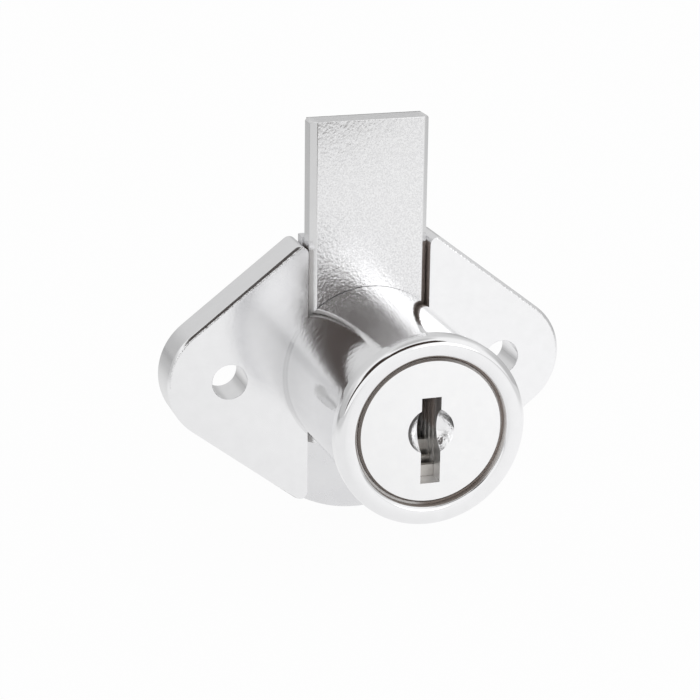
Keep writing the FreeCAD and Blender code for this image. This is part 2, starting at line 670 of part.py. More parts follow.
def write(parts):
    """One file for each sub-part, named after its label."""
    os.makedirs("parts", exist_ok=True)
    for part in parts:
        part.Shape.exportStep(f"parts/{part.Label}.step")
        print(f"{part.Label}: {len(part.Shape.Solids)} solid(s), {part.Shape.Volume:.2f} cubic mm")


sub_parts = build()
check(sub_parts)
write(sub_parts)
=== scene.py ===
"""Looks of the drawer lock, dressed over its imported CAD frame.

Metres, +Z up, X across and -Y the key side, with the origin on the barrel's axis in the plane of the
ears' front faces, as in the frame. Sizes that only this file needs are fields of its classes.
"""

from __future__ import annotations

import json
import logging
import math
from collections.abc import Callable
from dataclasses import dataclass
from enum import Enum
from functools import partial

import bmesh
import bpy
from mathutils import Matrix, Vector

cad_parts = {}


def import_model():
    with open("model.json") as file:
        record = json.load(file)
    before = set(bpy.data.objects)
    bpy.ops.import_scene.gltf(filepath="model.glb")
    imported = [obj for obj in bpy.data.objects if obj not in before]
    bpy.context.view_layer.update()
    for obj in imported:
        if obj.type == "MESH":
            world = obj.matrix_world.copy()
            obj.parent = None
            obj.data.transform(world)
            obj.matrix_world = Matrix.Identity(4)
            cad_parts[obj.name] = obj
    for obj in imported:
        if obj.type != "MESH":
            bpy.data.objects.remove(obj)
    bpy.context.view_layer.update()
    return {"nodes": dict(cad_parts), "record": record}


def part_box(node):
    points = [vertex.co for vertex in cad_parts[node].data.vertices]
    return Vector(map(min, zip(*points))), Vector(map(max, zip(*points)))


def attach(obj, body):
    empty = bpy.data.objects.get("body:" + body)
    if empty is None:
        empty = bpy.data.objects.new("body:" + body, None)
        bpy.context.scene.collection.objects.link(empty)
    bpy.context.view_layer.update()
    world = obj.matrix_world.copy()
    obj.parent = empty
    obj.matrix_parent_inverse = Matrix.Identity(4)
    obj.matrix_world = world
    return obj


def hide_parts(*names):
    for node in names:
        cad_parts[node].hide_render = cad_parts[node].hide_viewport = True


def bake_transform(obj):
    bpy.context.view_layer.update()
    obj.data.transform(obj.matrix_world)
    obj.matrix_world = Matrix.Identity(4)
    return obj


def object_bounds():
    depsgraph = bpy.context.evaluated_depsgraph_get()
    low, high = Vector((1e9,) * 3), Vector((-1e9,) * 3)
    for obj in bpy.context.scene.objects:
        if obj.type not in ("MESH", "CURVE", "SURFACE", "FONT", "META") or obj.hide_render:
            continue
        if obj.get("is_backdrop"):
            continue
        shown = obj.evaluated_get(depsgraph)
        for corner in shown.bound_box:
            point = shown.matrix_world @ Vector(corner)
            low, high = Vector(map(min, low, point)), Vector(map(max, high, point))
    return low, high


LOG = logging.getLogger("drawer_lock")
MM = 0.001
# Corners nearer than this are one corner, and faces that differ by fewer degrees than this are one face.
WELD = 0.0005 * MM
SAME_PLANE = 0.4
# How much rougher a bare, dirty or sawn wall is than the plate beside it.
BARE_ROUGHNESS = 0.3
# Settings of a smooth change and of a mix of colours, and the ends of a change from full to none.
SMOOTH = {"interpolation_type": "SMOOTHSTEP"}
COLOURS = {"data_type": "RGBA"}
FALLING = (1.0, 0.0)

# A span says where a change starts and where it ends, or what it starts and ends with.
Span = tuple[float, float]
# A way is a direction or a point: across, along the barrel, and up.
Way = tuple[float, float, float]
Colour = tuple[float, float, float, float]


class Slot(Enum):
    """The record's material slots."""

    CASTING = "bright_casting"
    RING = "bright_ring"
    CYLINDER = "bright_cylinder"
    GRAINED = "grained_casting"
    SHEET = "plated_steel"
    STEEL = "steel"
    WIRE = "spring_wire"


class Body(Enum):
    """The frame's moving bodies that new pieces ride on."""

    HOUSING = "housing"
    CYLINDER = "cylinder"
    BOLT = "bolt"


def linear(hex_colour: str) -> Colour:
    """Turn an sRGB colour into the linear one that the shaders take.

    Args:
        hex_colour: The colour as six hex digits after a hash.

    Returns:
        Red, green, blue and an alpha of 1.
    """
    parts = [int(hex_colour[at:at + 2], 16) / 255 for at in (1, 3, 5)]
    red, green, blue = (part / 12.92 if part <= 0.04045 else ((part + 0.055) / 1.055) ** 2.4
                        for part in parts)
    return red, green, blue, 1.0


def fill(node: bpy.types.Node, sockets: dict) -> None:
    """Fill a node's inputs.

    Args:
        node: The node.
        sockets: Input name or number to a value, or to an output socket that is linked to it.
    """
    for key, given in sockets.items():
        if isinstance(given, bpy.types.NodeSocket):
            node.id_data.links.new(given, node.inputs[key])
        else:
            node.inputs[key].default_value = given


def add_node(tree: bpy.types.NodeTree, kind: str, *values: object, sockets: dict | None = None,
             output: str | None = None, **settings: object) -> bpy.types.NodeSocket:
    """Add a node, set its options and fill its inputs.

    Args:
        tree: The node tree that the node goes into.
        kind: The node's type after the words ShaderNode, such as Math.
        values: What the first inputs get, in their order.
        sockets: What other inputs get, by name.
        output: The output that is wanted, or None for the first one in use.
        settings: The node's own options, such as operation.

    Returns:
        The wanted output.
    """
    node = tree.nodes.new(f"ShaderNode{kind}")
    for name, choice in settings.items():
        setattr(node, name, choice)
    fill(node, {**dict(enumerate(values)), **(sockets or {})})
    return node.outputs[output] if output else next(each for each in node.outputs if each.enabled)


@dataclass(frozen=True)
class Clouds:
    """Cloudy unevenness of a surface.

    Attributes:
        size: Width of one cloud in metres.
        detail: How many finer layers it has.
        roughness: Strength of the finer layers.
        depth: How deep it is in metres, or 0 where it only changes colour and gloss.
    """

    size: float
    detail: float = 2.0
    roughness: float = 0.5
    depth: float = 0.0

    def over(self, place: bpy.types.NodeSocket) -> dict:
        """Give the inputs of a noise that draws it."""
        return {"Vector": place, "Scale": 1 / self.size, "Detail": self.detail, "Roughness": self.roughness}


@dataclass(frozen=True)
class Pebbles:
    """Rounded pebbles of a cast surface.

    Attributes:
        size: Distance between two pebbles in metres.
        depth: Depth between them in metres.
        drift_size: Width of the clouds that shift them, in pebbles.
        drift: How far these shift them, in pebbles.
        roundness: How softly they meet.
    """

    size: float
    depth: float
    drift_size: float = 2.0
    drift: float = 1.2
    roundness: float = 0.6


class Surface:
    """A material under construction: its tree, its shader and the piece's own coordinates."""

    def __init__(self, name: str) -> None:
        """Make the material and its shader.

        Args:
            name: What the material is and how its surface was made.
        """
        self.material = bpy.data.materials.new(name)
        self.material.use_nodes = True
        self.tree = self.material.node_tree
        self.shader = self.tree.nodes["Principled BSDF"]
        self.output = self.tree.nodes["Material Output"]
        self.place = add_node(self.tree, "TexCoord", output="Object")
        self.across, self.along, self.up = add_node(self.tree, "SeparateXYZ", self.place).node.outputs

    def radius(self) -> bpy.types.NodeSocket:
        """Measure the distance from the barrel's axis."""
        flat = add_node(self.tree, "VectorMath", self.place, (1.0, 0.0, 1.0), operation="MULTIPLY")
        return add_node(self.tree, "VectorMath", flat, operation="LENGTH")

    def pebbles(self, grit: Pebbles) -> bpy.types.NodeSocket:
        """Draw pebbles that don't stand in rows.

        Args:
            grit: Their sizes.

        Returns:
            The distance from each pebble's middle.
        """
        add = partial(add_node, self.tree)
        clouds = Clouds(grit.drift_size * grit.size, 1.0)
        shift = add("TexNoise", sockets=clouds.over(self.place), output="Color")
        moved = add("VectorMath", shift, sockets={"Scale": grit.drift * grit.size}, operation="SCALE")
        place = add("VectorMath", self.place, moved, operation="ADD")
        sockets = {"Vector": place, "Scale": 1 / grit.size, "Smoothness": grit.roundness}
        return add("TexVoronoi", sockets=sockets, feature="SMOOTH_F1")

    def finish(self, colour: object, metallic: object, roughness: object,
               *reliefs: tuple[object, float, object]) -> bpy.types.Material:
        """Feed the shader and lay the reliefs over each other.

        Args:
            colour: The base colour.
            metallic: 1 where it is clean metal, 0 where dirt or a skin covers it.
            roughness: The roughness.
            reliefs: Each relief's height from 0 to 1, depth in metres and strength.

        Returns:
            The finished material.
        """
        fill(self.shader, {"Base Color": colour, "Metallic": metallic, "Roughness": roughness})
        normal = {}
        for height, depth, share in reliefs:
            sockets = {"Height": height, "Distance": depth, "Strength": share, **normal}
            normal = {"Normal": add_node(self.tree, "Bump", sockets=sockets)}
        fill(self.shader, normal)
        return self.material


@dataclass(frozen=True)
class BrightCasting:
    """Die-cast zinc with bright nickel-chrome plate.

    Barrel and ears shine, and the channel and the bore stayed dull and brown. The barrel's lower left is
    painted a darker grey as shade, most so near the ear, and some white polishing paste is left in the narrow
    joint on the bolt's left.
    """

    colour: str = "#FAFAFB"
    shade: str = "#F1F1F2"
    # Painted shade: this grey is laid on the barrel's lower left, most so near the ear.
    painted_shade_grey: str = "#DADADB"
    dull: str = "#9A8E87"
    paste: str = "#F2F0EE"
    barrel_radius: Span = (10.1 * MM, 10.4 * MM)
    flange_front: Span = (-0.1 * MM, 0.1 * MM)
    channel_half: Span = (7.30 * MM, 7.34 * MM)
    channel_front: Span = (0.1 * MM, 0.2 * MM)
    bore_radius: Span = (8.5 * MM, 8.6 * MM)
    bore_end: Span = (-0.6 * MM, -0.4 * MM)
    paste_side: Span = (-2.0 * MM, 0.0)
    paste_depth: Span = (1.4 * MM, 1.8 * MM)
    # Where the painted shade lies: its way, its reach across and along the barrel, and its share far from the
    # ear.
    painted_shade_way: Way = (-0.8, 0.0, -0.6)
    painted_shade_side: Span = (1.5 * MM, 5.0 * MM)
    painted_shade_run: Span = (-12.0 * MM, -1.0 * MM)
    painted_shade_share: float = 0.4
    edge_start: Span = (0.002 * MM, 0.012 * MM)
    edge_end: Span = (0.09 * MM, 0.12 * MM)
    barrel_gloss: float = 0.06
    ear_gloss: float = 0.14
    gloss_spread: float = 0.03
    smoother_ear: float = 0.75
    wave_share: float = 0.5
    mottle: Clouds = Clouds(1.6 * MM, 4.0, 0.6)
    waves: Clouds = Clouds(2.4 * MM, depth=0.01 * MM)
    dimples: Clouds = Clouds(0.6 * MM, 1.0, depth=0.007 * MM)
    specks: Clouds = Clouds(0.2 * MM, depth=0.004 * MM)
    wear: Clouds = Clouds(0.35 * MM, depth=0.12 * MM)

    def build(self) -> bpy.types.Material:
        """Make the material.

        Returns:
            The finished material.
        """
        surface = Surface("plated_zinc_casting")
        add = partial(add_node, surface.tree)
        radius, along = surface.radius(), surface.along

        # Where it is an ear and not the barrel.
        outside = add("MapRange", radius, *self.barrel_radius, **SMOOTH)
        flange = add("MapRange", along, *self.flange_front, **SMOOTH)
        ear = add("Math", outside, flange, operation="MAXIMUM")

        # The bolt's channel and the bore, and the paste in the channel.
        side = add("Math", surface.across, operation="ABSOLUTE")
        wall = add("MapRange", side, *self.channel_half, *FALLING, **SMOOTH)
        sunk = add("MapRange", along, *self.channel_front, **SMOOTH)
        channel = add("Math", wall, sunk, operation="MULTIPLY")
        hole = add("MapRange", radius, *self.bore_radius, *FALLING, **SMOOTH)
        before = add("MapRange", along, *self.bore_end, *FALLING, **SMOOTH)
        bore = add("Math", hole, before, operation="MULTIPLY")
        unplated = add("Math", channel, bore, operation="MAXIMUM")
        left = add("MapRange", surface.across, *self.paste_side, *FALLING, **SMOOTH)
        shallow = add("MapRange", along, *self.paste_depth, *FALLING, **SMOOTH)
        pasty = add("Math", left, shallow, operation="MULTIPLY")
        bare = add("Mix", pasty, sockets={"A": linear(self.dull), "B": linear(self.paste)}, **COLOURS)

        # The plate, with painted shade greying the barrel's lower left, most so near the ear.
        aim = add("VectorMath", surface.place, self.painted_shade_way, operation="DOT_PRODUCT")
        turned = add("MapRange", aim, *self.painted_shade_side, **SMOOTH)
        barrel = add("Math", 1.0, ear, operation="SUBTRACT")
        flank = add("Math", turned, barrel, operation="MULTIPLY")
        near = add("MapRange", along, *self.painted_shade_run, self.painted_shade_share, 1.0, **SMOOTH)
        painted_shade_mask = add("Math", flank, near, operation="MULTIPLY")
        mottle = add("TexNoise", sockets=self.mottle.over(surface.place))
        mottled_plate = add("Mix", mottle, sockets={"A": linear(self.shade), "B": linear(self.colour)}, **COLOURS)
        plated = add("Mix", painted_shade_mask, sockets={"A": mottled_plate, "B": linear(self.painted_shade_grey)}, **COLOURS)
        colour = add("Mix", unplated, sockets={"A": plated, "B": bare}, **COLOURS)

        # Gloss, and a relief that is fainter on the ears, with wear along their rounded front edges.
        duller = self.ear_gloss - self.barrel_gloss
        gloss = add("Math", ear, duller, self.barrel_gloss, operation="MULTIPLY_ADD")
        uneven = add("Math", mottle, self.gloss_spread, gloss, operation="MULTIPLY_ADD")
        roughness = add("Math", unplated, BARE_ROUGHNESS, uneven, operation="MULTIPLY_ADD")
        metallic = add("Math", 1.0, unplated, operation="SUBTRACT")
        cast = add("Math", ear, -self.smoother_ear, 1.0, operation="MULTIPLY_ADD")
        started = add("MapRange", along, *self.edge_start, **SMOOTH)
        ended = add("MapRange", along, *self.edge_end, *FALLING, **SMOOTH)
        edge = add("Math", started, ended, operation="MULTIPLY")
        shares = ((self.waves, self.wave_share), (self.dimples, cast), (self.specks, cast), (self.wear, edge))
        return surface.finish(colour, metallic, roughness,
                              *((add("TexNoise", sockets=clouds.over(surface.place)), clouds.depth, share)
                                for clouds, share in shares))


@dataclass(frozen=True)
class BrightRing:
    """Pressed brass ring, polished and chromed: a clean mirror.

    Brown old polish fills the gap round the cylinder. Spread wider at the upper left, the brown is painted
    shade, and on the right the gap's wall is a pale grey that is painted light.
    """

    colour: str = "#F6F6F7"
    shade: str = "#EFEFF0"
    # The brown of old polish in the gap round the cylinder, which is painted shade where it spreads wider at
    # the upper left.
    polish_and_painted_light: str = "#7D746E"
    # Painted light: a pale grey on the gap's wall on the right.
    gap_painted_light: str = "#D8D4D1"
    roughness: float = 0.05
    gloss_spread: float = 0.04
    wall_radius: Span = (8.5 * MM, 8.55 * MM)
    # Painted shade: the way, the spread across it, and how far the brown widens at the upper left.
    gap_painted_shade_way: Way = (-0.75, 0.0, 0.66)
    gap_painted_shade_side: Span = (3.0 * MM, 7.5 * MM)
    gap_painted_shade_spread: Span = (0.0, 0.17 * MM)
    gap_painted_light_way: Way = (1.0, 0.0, 0.3)
    gap_painted_light_side: Span = (3.0 * MM, 8.0 * MM)
    wave_share: float = 0.5
    haze: Clouds = Clouds(1.2 * MM, 3.0)
    waves: Clouds = Clouds(1.8 * MM, depth=0.006 * MM)

    def build(self) -> bpy.types.Material:
        """Make the material.

        Returns:
            The finished material.
        """
        surface = Surface("polished_chrome_ring")
        add = partial(add_node, surface.tree)
        # Painted shade: the brown in the gap spreads wider at the upper left.
        aim = add("VectorMath", surface.place, self.gap_painted_shade_way, operation="DOT_PRODUCT")
        spread = add("MapRange", aim, *self.gap_painted_shade_side, *self.gap_painted_shade_spread, **SMOOTH)
        reach = add("Math", surface.radius(), spread, operation="SUBTRACT")
        wall = add("MapRange", reach, *self.wall_radius, *FALLING, **SMOOTH)
        # Painted light: the gap's wall turns pale grey on the right.
        right = add("VectorMath", surface.place, self.gap_painted_light_way, operation="DOT_PRODUCT")
        painted_light_mask = add("MapRange", right, *self.gap_painted_light_side, **SMOOTH)
        haze = add("TexNoise", sockets=self.haze.over(surface.place))
        plated = add("Mix", haze, sockets={"A": linear(self.shade), "B": linear(self.colour)}, **COLOURS)
        polish_and_painted_light = add("Mix", painted_light_mask, sockets={"A": linear(self.polish_and_painted_light), "B": linear(self.gap_painted_light)}, **COLOURS)
        colour = add("Mix", wall, sockets={"A": plated, "B": polish_and_painted_light}, **COLOURS)
        gloss = add("Math", haze, self.gloss_spread, self.roughness, operation="MULTIPLY_ADD")
        roughness = add("Math", wall, BARE_ROUGHNESS, gloss, operation="MULTIPLY_ADD")
        metallic = add("Math", 1.0, wall, operation="SUBTRACT")
        waves = add("TexNoise", sockets=self.waves.over(surface.place))
        return surface.finish(colour, metallic, roughness, (waves, self.waves.depth, self.wave_share))


@dataclass(frozen=True)
class BrightCylinder:
    """Cast zinc with bright plate: a clean face, a rough hollow, and a slot that is plated only at its mouth.

    The slot's deep walls and the rim behind the face are brown. The spans hollow_start, plate_end and
    rim_start are measured from the face.
    """

    colour: str = "#FCFCFC"
    shade: str = "#F4F4F5"
    wall: str = "#A89C95"
    face: float = -21.4 * MM
    hollow_radius: Span = (2.60 * MM, 2.65 * MM)
    hollow_start: Span = (0.04 * MM, 0.12 * MM)
    slot_half: Span = (1.13 * MM, 1.16 * MM)
    slot_middle: float = -1.05 * MM
    slot_reach: Span = (4.90 * MM, 4.93 * MM)
    plate_end: Span = (1.3 * MM, 2.4 * MM)
    slot_upper: Span = (-1.2 * MM, -0.2 * MM)
    lower_share: float = 0.2
    rim_radius: Span = (8.05 * MM, 8.10 * MM)
    rim_start: Span = (0.2 * MM, 0.3 * MM)
    roughness: float = 0.1
    gloss_spread: float = 0.05
    hollow_roughness: float = 0.2
    wave_share: float = 0.5
    mottle: Clouds = Clouds(1.1 * MM, 4.0, 0.6)
    waves: Clouds = Clouds(2.0 * MM, depth=0.008 * MM)
    pebbles: Pebbles = Pebbles(0.24 * MM, 0.022 * MM)

    def build(self) -> bpy.types.Material:
        """Make the material.

        Returns:
            The finished material.
        """
        surface = Surface("plated_cylinder")
        add = partial(add_node, surface.tree)
        radius = surface.radius()
        behind = add("Math", surface.along, self.face, operation="SUBTRACT")

        # The hollow in the face.
        below = add("MapRange", behind, *self.hollow_start, **SMOOTH)
        middle = add("MapRange", radius, *self.hollow_radius, *FALLING, **SMOOTH)
        hollow = add("Math", below, middle, operation="MULTIPLY")

        # The key slot, and those of its walls that the plate didn't reach.
        side = add("Math", surface.across, operation="ABSOLUTE")
        narrow = add("MapRange", side, *self.slot_half, *FALLING, **SMOOTH)
        height = add("Math", surface.up, self.slot_middle, operation="SUBTRACT")
        level = add("Math", height, operation="ABSOLUTE")
        tall = add("MapRange", level, *self.slot_reach, *FALLING, **SMOOTH)
        slot = add("Math", narrow, tall, operation="MULTIPLY")
        inwards = add("MapRange", behind, *self.plate_end, **SMOOTH)
        upper = add("MapRange", surface.up, *self.slot_upper, self.lower_share, 1.0, **SMOOTH)
        unreached = add("Math", inwards, upper, operation="MULTIPLY")
        walls = add("Math", slot, unreached, operation="MULTIPLY")

        # The rim behind the face.
        outer = add("MapRange", radius, *self.rim_radius, **SMOOTH)
        rear = add("MapRange", behind, *self.rim_start, **SMOOTH)
        rim = add("Math", outer, rear, operation="MULTIPLY")
        deep = add("Math", rim, walls, operation="MAXIMUM")

        mottle = add("TexNoise", sockets=self.mottle.over(surface.place))
        plated = add("Mix", mottle, sockets={"A": linear(self.shade), "B": linear(self.colour)}, **COLOURS)
        colour = add("Mix", deep, sockets={"A": plated, "B": linear(self.wall)}, **COLOURS)
        metallic = add("Math", 1.0, deep, operation="SUBTRACT")
        sawn = add("Math", slot, below, operation="MULTIPLY")
        cast = add("Math", hollow, self.hollow_roughness, operation="MULTIPLY")
        rougher = add("Math", sawn, cast, operation="MAXIMUM")
        gloss = add("Math", mottle, self.gloss_spread, self.roughness, operation="MULTIPLY_ADD")
        inside = add("Math", rougher, BARE_ROUGHNESS, gloss, operation="MULTIPLY_ADD")
        roughness = add("Math", rim, BARE_ROUGHNESS, inside, operation="MULTIPLY_ADD")
        waves = add("TexNoise", sockets=self.waves.over(surface.place))
        return surface.finish(colour, metallic, roughness, (waves, self.waves.depth, self.wave_share),
                              (surface.pebbles(self.pebbles), self.pebbles.depth, hollow))


@dataclass(frozen=True)
class GrainedCasting:
    """Plated casting left with its sand-like grain on the wide faces, smooth on the edges.

    The grain's hollows are painted a little darker than its tops as shade, so it shows in flat light too. The
    finest grain is drawn about twice as coarse as it is, so that it shows.
    """

    colour: str = "#F8F8F8"
    shade: str = "#F1F1F2"
    # Painted shade: the darker colour laid in the grain's hollows.
    hollow: str = "#E4E4E5"
    roughness: float = 0.21
    gloss_spread: float = 0.07
    half_width: Span = (6.15 * MM, 6.3 * MM)
    hollow_level: Span = (0.35, 0.65)
    cloud: Clouds = Clouds(2.6 * MM, 3.0)
    grain: Clouds = Clouds(0.17 * MM, 2.0, 0.6, depth=0.007 * MM)
    pebbles: Pebbles = Pebbles(0.36 * MM, 0.017 * MM)

    def build(self) -> bpy.types.Material:
        """Make the material.

        Returns:
            The finished material.
        """
        surface = Surface("pebbled_plated_casting")
        add = partial(add_node, surface.tree)
        side = add("Math", surface.across, operation="ABSOLUTE")
        wide = add("MapRange", side, *self.half_width, *FALLING, **SMOOTH)
        cloud = add("TexNoise", sockets=self.cloud.over(surface.place))
        grain = add("TexNoise", sockets=self.grain.over(surface.place))
        # Painted shade: the grain's hollows are coloured darker than its tops.
        low = add("MapRange", grain, *self.hollow_level, **SMOOTH)
        hollows = add("Math", low, wide, operation="MULTIPLY")
        plated = add("Mix", cloud, sockets={"A": linear(self.shade), "B": linear(self.colour)}, **COLOURS)
        colour = add("Mix", hollows, sockets={"A": plated, "B": linear(self.hollow)}, **COLOURS)
        roughness = add("Math", cloud, self.gloss_spread, self.roughness, operation="MULTIPLY_ADD")
        pebbles = add("Math", 1.0, surface.pebbles(self.pebbles), operation="SUBTRACT")
        grains = add("Math", 1.0, grain, operation="SUBTRACT")
        return surface.finish(colour, 1.0, roughness, (pebbles, self.pebbles.depth, wide),
                              (grains, self.grain.depth, wide))


@dataclass(frozen=True)
class PlatedSheet:
    """Zinc-plated sheet steel: satin, with faint rolling lines up and down."""

    colour: str = "#EFEFF0"
    shade: str = "#E2E2E4"
    roughness: float = 0.24
    gloss_spread: float = 0.08
    cloud: Clouds = Clouds(3.0 * MM, 3.0)
    line: Clouds = Clouds(0.12 * MM, depth=0.004 * MM)
    line_stretch: Way = (1.0, 1.0, 0.03)
    line_share: float = 0.6

    def build(self) -> bpy.types.Material:
        """Make the material.

        Returns:
            The finished material.
        """
        surface = Surface("plated_sheet_steel")
        add = partial(add_node, surface.tree)
        stretched = add("Mapping", surface.place, sockets={"Scale": self.line_stretch})
        lines = add("TexNoise", sockets=self.line.over(stretched))
        cloud = add("TexNoise", sockets=self.cloud.over(surface.place))
        colour = add("Mix", cloud, sockets={"A": linear(self.shade), "B": linear(self.colour)}, **COLOURS)
        roughness = add("Math", cloud, self.gloss_spread, self.roughness, operation="MULTIPLY_ADD")
        return surface.finish(colour, 1.0, roughness, (lines, self.line.depth, self.line_share))


@dataclass(frozen=True)
class OiledWafer:
    """Nickelled brass stamping: clean at the foot of its window, brown with old oil round the rest of it."""

    colour: str = "#D6D3CE"
    shade: str = "#B9B5B0"
    oil: str = "#A89C95"
    window_half: Span = (1.6 * MM, 1.7 * MM)
    window_foot: Span = (-1.1 * MM, -0.1 * MM)
    roughness: float = 0.3
    gloss_spread: float = 0.12
    oil_roughness: float = 0.25
    marks: Clouds = Clouds(0.4 * MM, 4.0, 0.6, depth=0.006 * MM)
    mark_share: float = 0.5

    def build(self) -> bpy.types.Material:
        """Make the material.

        Returns:
            The finished material.
        """
        surface = Surface("nickelled_brass_stamping")
        add = partial(add_node, surface.tree)
        marks = add("TexNoise", sockets=self.marks.over(surface.place))
        side = add("Math", surface.across, operation="ABSOLUTE")
        inside = add("MapRange", side, *self.window_half, *FALLING, **SMOOTH)
        above = add("MapRange", surface.up, *self.window_foot, **SMOOTH)
        oiled = add("Math", inside, above, operation="MULTIPLY")
        plated = add("Mix", marks, sockets={"A": linear(self.shade), "B": linear(self.colour)}, **COLOURS)
        colour = add("Mix", oiled, sockets={"A": plated, "B": linear(self.oil)}, **COLOURS)
        metallic = add("Math", 1.0, oiled, operation="SUBTRACT")
        oily = add("Math", oiled, self.oil_roughness, self.roughness, operation="MULTIPLY_ADD")
        roughness = add("Math", marks, self.gloss_spread, oily, operation="MULTIPLY_ADD")
        return surface.finish(colour, metallic, roughness, (marks, self.marks.depth, self.mark_share))


@dataclass(frozen=True)
class PlainMetal:
    """Small turned, headed or drawn metal part with fine tool marks.

    Attributes:
        name: What the metal and its making are.
        colour: Its lighter colour.
        shade: Its darker colour.
        roughness: Its least roughness.
        marks: Its tool marks.
        gloss_spread: How much rougher its roughest places are.
        mark_share: How strongly the marks show.
    """

    name: str
    colour: str
    shade: str
    roughness: float
    marks: Clouds
    gloss_spread: float = 0.12
    mark_share: float = 0.5

    def build(self) -> bpy.types.Material:
        """Make the material.

        Returns:
            The finished material.
        """
        surface = Surface(self.name)
        add = partial(add_node, surface.tree)
        marks = add("TexNoise", sockets=self.marks.over(surface.place))
        colour = add("Mix", marks, sockets={"A": linear(self.shade), "B": linear(self.colour)}, **COLOURS)
        roughness = add("Math", marks, self.gloss_spread, self.roughness, operation="MULTIPLY_ADD")
        return surface.finish(colour, 1.0, roughness, (marks, self.marks.depth, self.mark_share))


# Steel turned to size: light grey and fairly shiny, with fine marks of the tool.
PIN_STEEL = PlainMetal("turned_steel_pin", "#C4C4C6", "#9D9DA0", 0.22,
                       Clouds(0.15 * MM, 4.0, 0.6, depth=0.006 * MM))
# Steel wire pulled through a die: darker grey, with a dull shine.
SPRING_STEEL = PlainMetal("drawn_spring_wire", "#B9B9BA", "#8F8F91", 0.25,
                          Clouds(0.2 * MM, 4.0, 0.6, depth=0.006 * MM))
# Steel headed in a press: the lightest of the three, with small dents on the heads.
RIVET_STEEL = PlainMetal("headed_steel_rivet", "#CFCFD1", "#AAAAAD", 0.26,
                         Clouds(0.3 * MM, 4.0, 0.6, depth=0.006 * MM))


def place_mesh(mesh: bmesh.types.BMesh, name: str, material: bpy.types.Material) -> bpy.types.Object:
    """Put a bmesh in the scene as an object.

    Args:
        mesh: The shape, in place in the row frame. It is freed.
        name: The object's name.
        material: Its finish.

    Returns:
        The new object.
    """
    data = bpy.data.meshes.new(name)
    mesh.to_mesh(data)
    mesh.free()
    data.materials.append(material)
    made = bpy.data.objects.new(name, data)
    bpy.context.scene.collection.objects.link(made)
    return made


def finish_piece(mesh: bmesh.types.BMesh, name: str, material: bpy.types.Material, slot: Slot,
                 body: Body | None, nodes: tuple[str, ...], crease: float = 32.0) -> bpy.types.Object:
    """Turn a bmesh into a finished piece that stands for CAD nodes.

    Args:
        mesh: The shape, in place in the row frame. It is freed.
        name: The piece's name.
        material: Its finish.
        slot: The record's slot for that finish; not used.
        body: The body that it rides on, or None for a piece that rides on no body.
        nodes: CAD nodes that it stands for.
        crease: Edges sharper than this many degrees stay sharp in the shading.

    Returns:
        The new object.
    """
    for face in mesh.faces:
        face.smooth = True
    for edge in mesh.edges:
        edge.smooth = edge.calc_face_angle(0.0) < math.radians(crease)
    piece = place_mesh(mesh, name, material)
    weigh = piece.modifiers.new("flat_faces_stay_flat", "WEIGHTED_NORMAL")
    weigh.keep_sharp = True
    if body is not None:
        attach(piece, body.value)
    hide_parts(*nodes)
    LOG.info("%s: %d faces", name, len(piece.data.polygons))
    return piece


def welded_copy(node: bpy.types.Object) -> bmesh.types.BMesh:
    """Copy a CAD node's loose triangles and merge their corners.

    Args:
        node: The CAD node's object.

    Returns:
        The copy.
    """
    mesh = bmesh.new()
    mesh.from_mesh(node.data)
    bmesh.ops.remove_doubles(mesh, verts=mesh.verts, dist=WELD)
    return mesh


def merged_copy(node: bpy.types.Object) -> bmesh.types.BMesh:
    """Copy a CAD node, and join its triangles that lie in one plane.

    Args:
        node: The CAD node's object.

    Returns:
        The copy.
    """
    mesh = welded_copy(node)
    bmesh.ops.dissolve_limit(mesh, angle_limit=math.radians(SAME_PLANE), verts=mesh.verts, edges=mesh.edges)
    return mesh


def roll_edges(mesh: bmesh.types.BMesh, size: float, wanted: Callable[[bmesh.types.BMEdge], bool],
               sharper: float = 28.0, segments: int = 3) -> None:
    """Round the sharp edges that pass a test.

    Args:
        mesh: The shape.
        size: Width of the round in metres.
        wanted: Test on the edge.
        sharper: Only edges sharper than this many degrees are rounded.
        segments: Steps across the round.
    """
    edges = [edge for edge in mesh.edges
             if edge.calc_face_angle(0.0) > math.radians(sharper) and wanted(edge)]
    bmesh.ops.bevel(mesh, geom=edges, offset=size, offset_type="OFFSET", segments=segments, profile=0.5,
                    affect="EDGES", clamp_overlap=False, material=-1)


